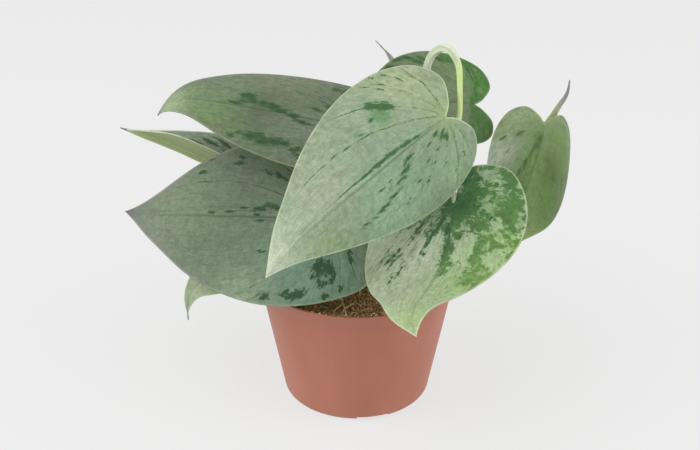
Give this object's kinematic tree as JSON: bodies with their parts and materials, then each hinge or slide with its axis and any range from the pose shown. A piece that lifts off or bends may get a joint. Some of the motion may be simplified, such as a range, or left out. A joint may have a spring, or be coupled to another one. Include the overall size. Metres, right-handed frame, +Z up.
{
  "type": "potted satin pothos",
  "caption": "Satin pothos with heart-shaped silver-blotched leaves in a 12 cm terracotta-coloured nursery pot.",
  "frame": {"origin": "centre of the pot's foot, on the surface the pot stands on", "axes": "+Z up along the pot's axis, +X to the right and +Y to the back as the front leaves are seen"},
  "size_m": [0.2634, 0.3008, 0.2184],
  "materials": {
    "pot_plastic": "satin thermoformed polypropylene, terracotta colour",
    "potting_mix": "damp peat and coir, crumbly",
    "stem": "smooth living stem",
    "leaf": "thick satin leaf, silver blotches over green"
  },
  "bodies": {
    "root": {"pot": "pot_plastic", "soil": "potting_mix", "stem_front": "stem", "stem_left": "stem", "stem_right": "stem", "stem_back": "stem", "leaf_front": "leaf", "leaf_front_right": "leaf", "leaf_left": "leaf", "leaf_upper_left": "leaf", "leaf_top": "leaf", "leaf_right": "leaf", "leaf_folded": "leaf", "leaf_drooping": "leaf", "leaf_upright": "leaf", "leaf_back": "leaf", "leaf_back_left": "leaf", "leaf_low_right": "leaf", "leaf_rolled": "leaf"}
  },
  "joints": []
}
